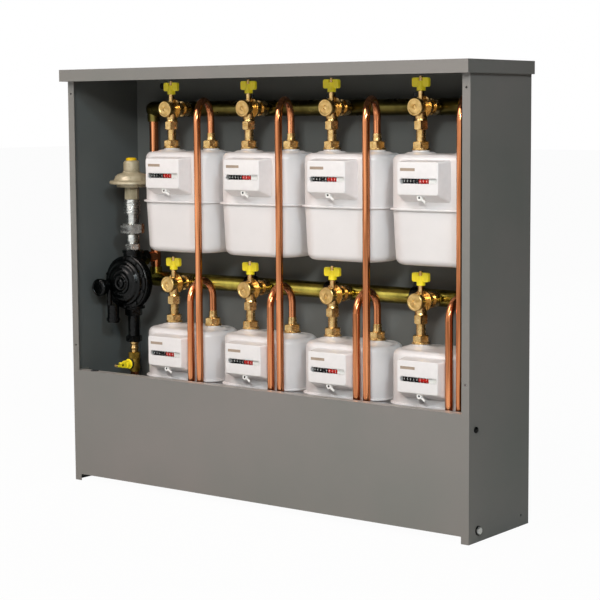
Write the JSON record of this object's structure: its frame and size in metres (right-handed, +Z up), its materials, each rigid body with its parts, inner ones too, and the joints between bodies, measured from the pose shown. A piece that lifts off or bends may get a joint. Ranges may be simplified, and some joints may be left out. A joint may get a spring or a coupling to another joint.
{
  "type": "gas distribution box",
  "caption": "Open-fronted steel cabinet with rows of diaphragm gas meters, brass valves, copper outlet pipes, manifolds and an inlet regulator.",
  "frame": {"origin": "centre of the footprint's bounding box, on the floor under the side panels", "axes": "+X to the right seen from the open front, +Y to the back, +Z up"},
  "size_m": [1.03, 0.239, 0.896],
  "materials": {
    "painted_steel": "grey polyester powder coat, fine texture",
    "meter_enamel": "smooth white coating on pressed steel",
    "index_plastic": "moulded white plastic, satin",
    "window": "clear moulded plastic",
    "counter_plastic": "moulded pale grey plastic",
    "wheel_black": "black number wheels",
    "wheel_red": "red number wheels",
    "seal": "white plastic seal",
    "inner_plastic": "moulded grey plastic",
    "brass": "machined brass",
    "manifold_brass": "drawn brass tube, dulled",
    "copper": "drawn copper tube",
    "zinc": "zinc plated steel",
    "cast_black": "black gloss enamel on a casting",
    "beige_enamel": "beige coated die casting",
    "handle_yellow": "yellow moulded handle",
    "reset_yellow": "yellow moulded button",
    "rubber": "black rubber"
  },
  "bodies": {
    "cabinet": {"back_panel": "painted_steel", "left_side_panel": "painted_steel", "right_side_panel": "painted_steel", "lid": "painted_steel", "front_panel": "painted_steel", "cable_grommet": "rubber", "panel_screws": "zinc", "earth_bolts": "zinc", "upper_manifold": "manifold_brass", "lower_manifold": "manifold_brass", "manifold_clips": "zinc", "link_pipe": "copper", "valve_bodies": "brass", "valve_end_caps": "brass", "valve_tails": "brass", "union_nuts": "brass", "outlet_tails": "brass", "upper_outlet_pipes": "copper", "lower_outlet_pipes": "copper", "upper_top_casings": "meter_enamel", "lower_top_casings": "meter_enamel", "upper_bottom_casings": "meter_enamel", "lower_bottom_casings": "meter_enamel", "measuring_units": "inner_plastic", "index_covers": "index_plastic", "index_windows": "window", "counter_frames": "counter_plastic", "counter_wheels": "wheel_black", "seal_tags": "seal", "gas_inlet_pipe": "copper", "inlet_valve_body": "brass", "inlet_union": "brass", "regulator_inlet_pipe": "cast_black", "regulator_body": "cast_black", "regulator_cover": "cast_black", "regulator_bolts": "cast_black", "regulator_cap": "cast_black", "riser_nipple": "zinc", "riser_union_nut": "zinc", "riser_coupling": "zinc", "relief_valve_body": "beige_enamel", "relief_valve_bonnet": "beige_enamel"},
    "reset_button": {"reset_button": "reset_yellow"},
    "inlet_valve_handle": {"inlet_valve_handle": "handle_yellow"},
    "valve_handle_1": {"valve_handle_1": "handle_yellow"},
    "valve_handle_2": {"valve_handle_2": "handle_yellow"},
    "valve_handle_3": {"valve_handle_3": "handle_yellow"},
    "valve_handle_4": {"valve_handle_4": "handle_yellow"},
    "valve_handle_5": {"valve_handle_5": "handle_yellow"},
    "valve_handle_6": {"valve_handle_6": "handle_yellow"},
    "valve_handle_7": {"valve_handle_7": "handle_yellow"},
    "valve_handle_8": {"valve_handle_8": "handle_yellow"},
    "units_wheel_1": {"units_wheel_1": "wheel_red"},
    "units_wheel_2": {"units_wheel_2": "wheel_red"},
    "units_wheel_3": {"units_wheel_3": "wheel_red"},
    "units_wheel_4": {"units_wheel_4": "wheel_red"},
    "units_wheel_5": {"units_wheel_5": "wheel_red"},
    "units_wheel_6": {"units_wheel_6": "wheel_red"},
    "units_wheel_7": {"units_wheel_7": "wheel_red"},
    "units_wheel_8": {"units_wheel_8": "wheel_red"}
  },
  "joints": [
    {"name": "valve_1_turn", "type": "hinge", "parent": "cabinet", "child": "valve_handle_1", "pos_m": [-0.313, 0.0145, 0.811], "axis": [0, 0, -1], "range_deg": [0, 90]},
    {"name": "valve_2_turn", "type": "hinge", "parent": "cabinet", "child": "valve_handle_2", "pos_m": [-0.1, 0.0145, 0.811], "axis": [0, 0, -1], "range_deg": [0, 90]},
    {"name": "valve_3_turn", "type": "hinge", "parent": "cabinet", "child": "valve_handle_3", "pos_m": [0.113, 0.0145, 0.811], "axis": [0, 0, -1], "range_deg": [0, 90]},
    {"name": "valve_4_turn", "type": "hinge", "parent": "cabinet", "child": "valve_handle_4", "pos_m": [0.326, 0.0145, 0.811], "axis": [0, 0, -1], "range_deg": [0, 90]},
    {"name": "valve_5_turn", "type": "hinge", "parent": "cabinet", "child": "valve_handle_5", "pos_m": [-0.313, 0.0145, 0.435], "axis": [0, 0, -1], "range_deg": [0, 90]},
    {"name": "valve_6_turn", "type": "hinge", "parent": "cabinet", "child": "valve_handle_6", "pos_m": [-0.1, 0.0145, 0.435], "axis": [0, 0, -1], "range_deg": [0, 90]},
    {"name": "valve_7_turn", "type": "hinge", "parent": "cabinet", "child": "valve_handle_7", "pos_m": [0.113, 0.0145, 0.435], "axis": [0, 0, -1], "range_deg": [0, 90]},
    {"name": "valve_8_turn", "type": "hinge", "parent": "cabinet", "child": "valve_handle_8", "pos_m": [0.326, 0.0145, 0.435], "axis": [0, 0, -1], "range_deg": [0, 90]},
    {"name": "inlet_valve_turn", "type": "hinge", "parent": "cabinet", "child": "inlet_valve_handle", "pos_m": [-0.428, 0.0095, 0.253], "axis": [0, -1, 0], "range_deg": [0, 90]},
    {"name": "reset_press", "type": "slide", "parent": "cabinet", "child": "reset_button", "axis": [0, 0, -1], "range_m": [0, 0.003], "stiffness_N_per_m": 500, "springref_m": -0.002},
    {"name": "units_wheel_1_spin", "type": "hinge", "parent": "cabinet", "child": "units_wheel_1", "pos_m": [-0.258, -0.0687, 0.672], "axis": [1, 0, 0], "continuous": true},
    {"name": "units_wheel_2_spin", "type": "hinge", "parent": "cabinet", "child": "units_wheel_2", "pos_m": [-0.045, -0.0687, 0.672], "axis": [1, 0, 0], "continuous": true},
    {"name": "units_wheel_3_spin", "type": "hinge", "parent": "cabinet", "child": "units_wheel_3", "pos_m": [0.168, -0.0687, 0.672], "axis": [1, 0, 0], "continuous": true},
    {"name": "units_wheel_4_spin", "type": "hinge", "parent": "cabinet", "child": "units_wheel_4", "pos_m": [0.381, -0.0687, 0.672], "axis": [1, 0, 0], "continuous": true},
    {"name": "units_wheel_5_spin", "type": "hinge", "parent": "cabinet", "child": "units_wheel_5", "pos_m": [-0.258, -0.0687, 0.296], "axis": [1, 0, 0], "continuous": true},
    {"name": "units_wheel_6_spin", "type": "hinge", "parent": "cabinet", "child": "units_wheel_6", "pos_m": [-0.045, -0.0687, 0.296], "axis": [1, 0, 0], "continuous": true},
    {"name": "units_wheel_7_spin", "type": "hinge", "parent": "cabinet", "child": "units_wheel_7", "pos_m": [0.168, -0.0687, 0.296], "axis": [1, 0, 0], "continuous": true},
    {"name": "units_wheel_8_spin", "type": "hinge", "parent": "cabinet", "child": "units_wheel_8", "pos_m": [0.381, -0.0687, 0.296], "axis": [1, 0, 0], "continuous": true}
  ]
}
